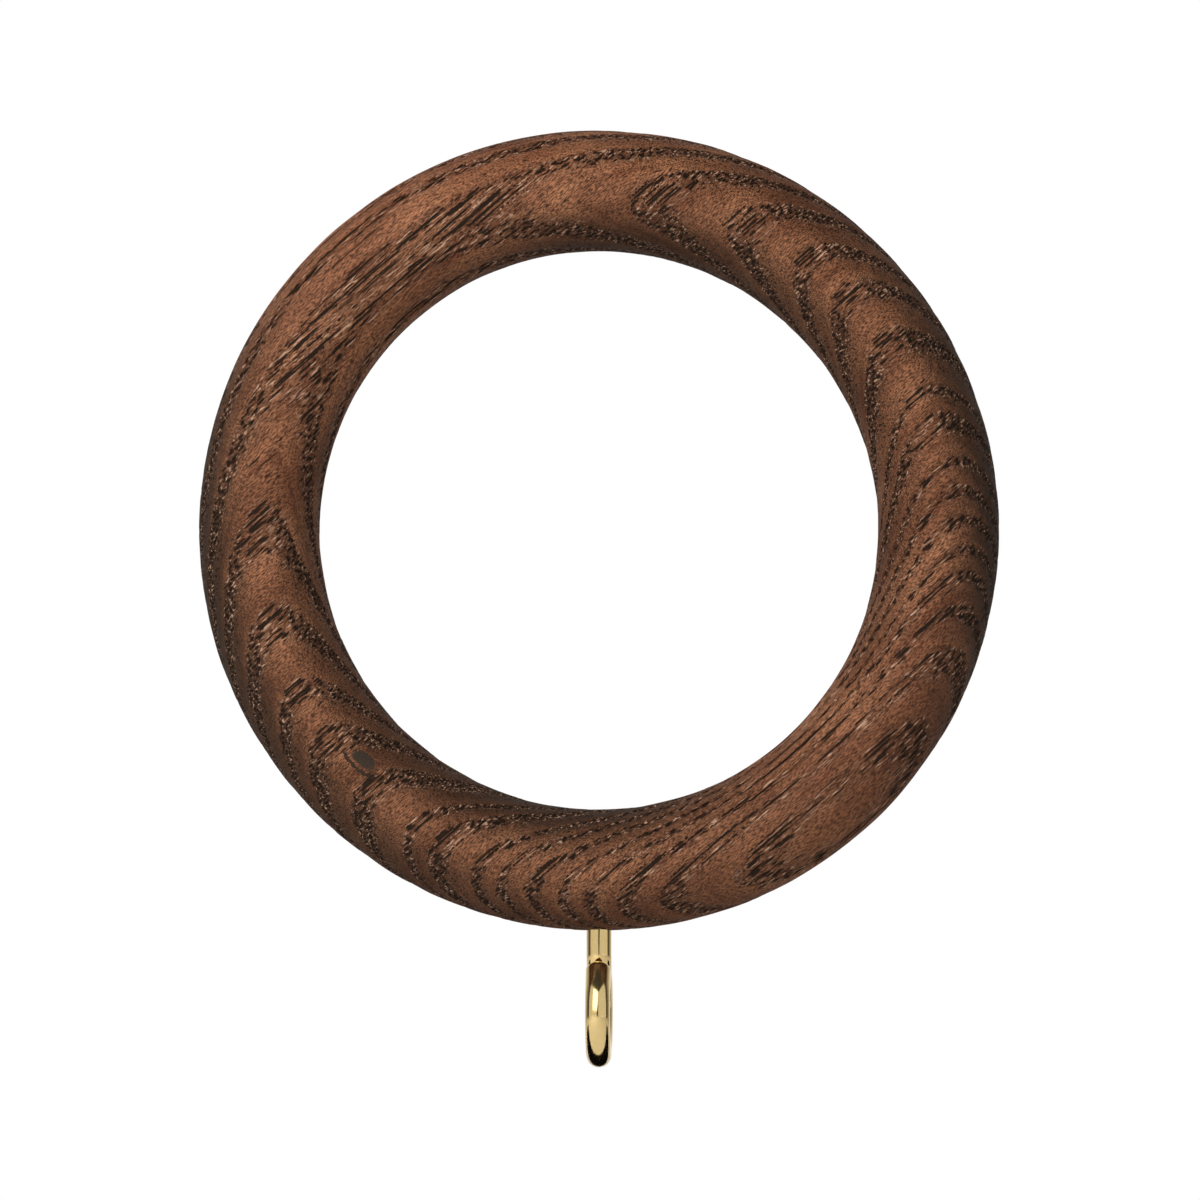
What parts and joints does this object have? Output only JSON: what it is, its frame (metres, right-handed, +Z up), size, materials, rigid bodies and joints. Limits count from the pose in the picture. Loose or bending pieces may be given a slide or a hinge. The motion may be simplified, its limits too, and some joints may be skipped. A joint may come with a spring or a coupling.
{
  "type": "curtain ring",
  "caption": "Turned wooden ring of round section that slides on a curtain pole, with a brass screw eye in its lowest point for the curtain hook.",
  "frame": {"origin": "centre of the ring, on the axis of the pole that it slides on", "axes": "+Y along the pole, away from the side that the picture shows, +Z up, with the eye hanging in -Z, +X to the right of the picture"},
  "size_m": [0.08, 0.012, 0.0937],
  "materials": {
    "stained_wood": "dark stain, open grain, thin satin wax",
    "brass": "polished"
  },
  "bodies": {
    "root": {"wooden_ring": "stained_wood", "screw_eye": "brass"}
  },
  "joints": []
}
